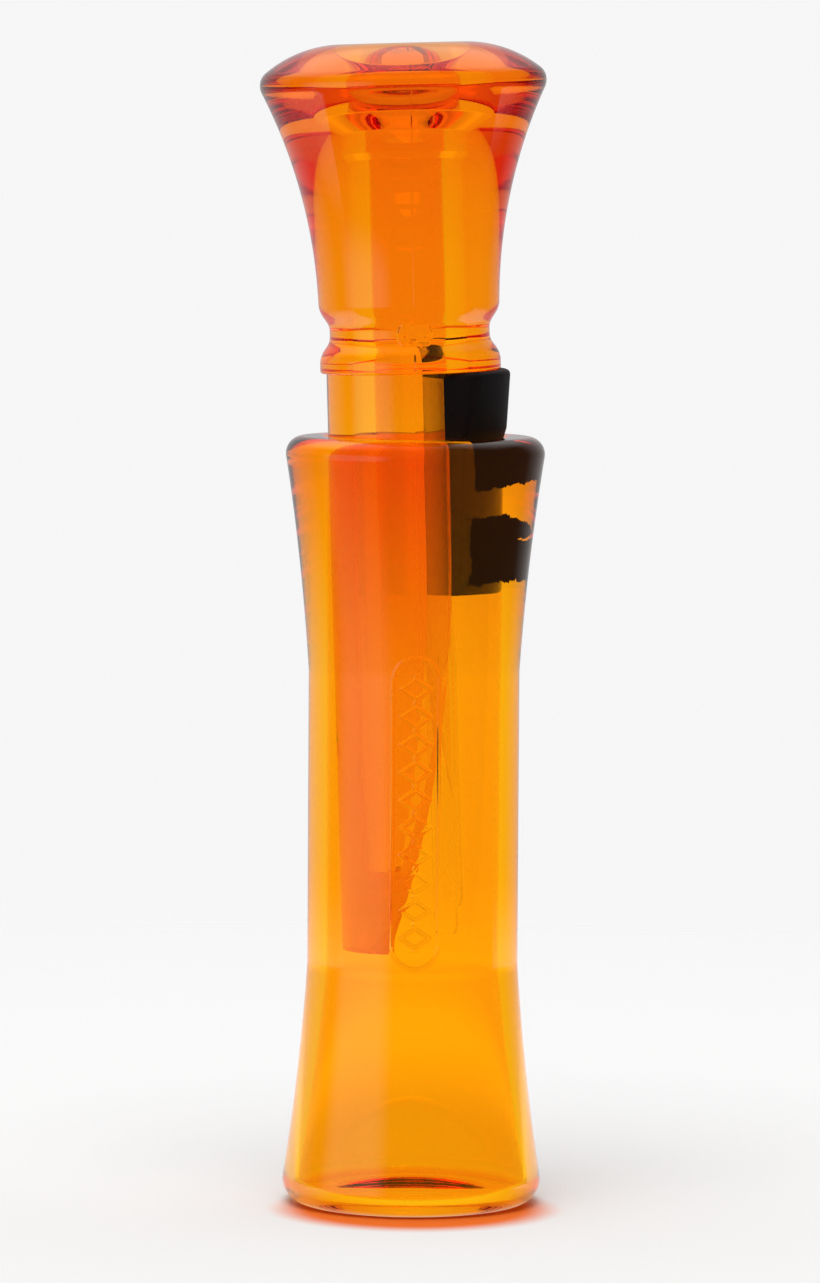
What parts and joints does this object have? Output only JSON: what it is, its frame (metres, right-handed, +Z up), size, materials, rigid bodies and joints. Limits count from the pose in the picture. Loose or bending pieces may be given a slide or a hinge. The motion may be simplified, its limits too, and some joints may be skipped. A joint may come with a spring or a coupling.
{
  "type": "duck call",
  "caption": "Reed duck call: flared barrel with a mouth hole, and a pull-out bell insert carrying a tone board, clear reeds and a rubber reed wedge.",
  "frame": {"origin": "on the barrel's axis in the plane of the mouthpiece that the call stands on", "axes": "+Z up along the barrel's axis towards the bell; +X the way the tone board's flat, the reeds and the wedge face"},
  "size_m": [0.0314, 0.0312, 0.1272],
  "materials": {
    "clear_body": "polished transparent moulding",
    "reed_film": "clear polyester film, lightly frosted",
    "wedge_rubber": "matte"
  },
  "bodies": {
    "barrel": {"barrel": "clear_body"},
    "insert": {"insert": "clear_body", "reed_wedge": "wedge_rubber"},
    "lower_reed": {"lower_reed": "reed_film"},
    "upper_reed": {"upper_reed": "reed_film"}
  },
  "joints": [
    {"name": "insert_pull", "type": "slide", "parent": "barrel", "child": "insert", "axis": [-0.0325, 0, 0.9995], "range_m": [0, 0.058]},
    {"name": "lower_reed_flex", "type": "hinge", "parent": "insert", "child": "lower_reed", "pos_m": [0.00245, 0, 0.06748], "axis": [0, 1, 0], "range_deg": [-1.5, 4.5], "stiffness_Nm_per_rad": 0.005, "deforming": ["lower_reed"]},
    {"name": "upper_reed_flex", "type": "hinge", "parent": "insert", "child": "upper_reed", "pos_m": [0.00273, 0, 0.06749], "axis": [0, 1, 0], "range_deg": [-1.5, 4.5], "stiffness_Nm_per_rad": 0.005, "deforming": ["upper_reed"]}
  ],
  "couplings": [
    {"joint": "upper_reed_flex", "follows": "lower_reed_flex", "ratio": 1}
  ]
}
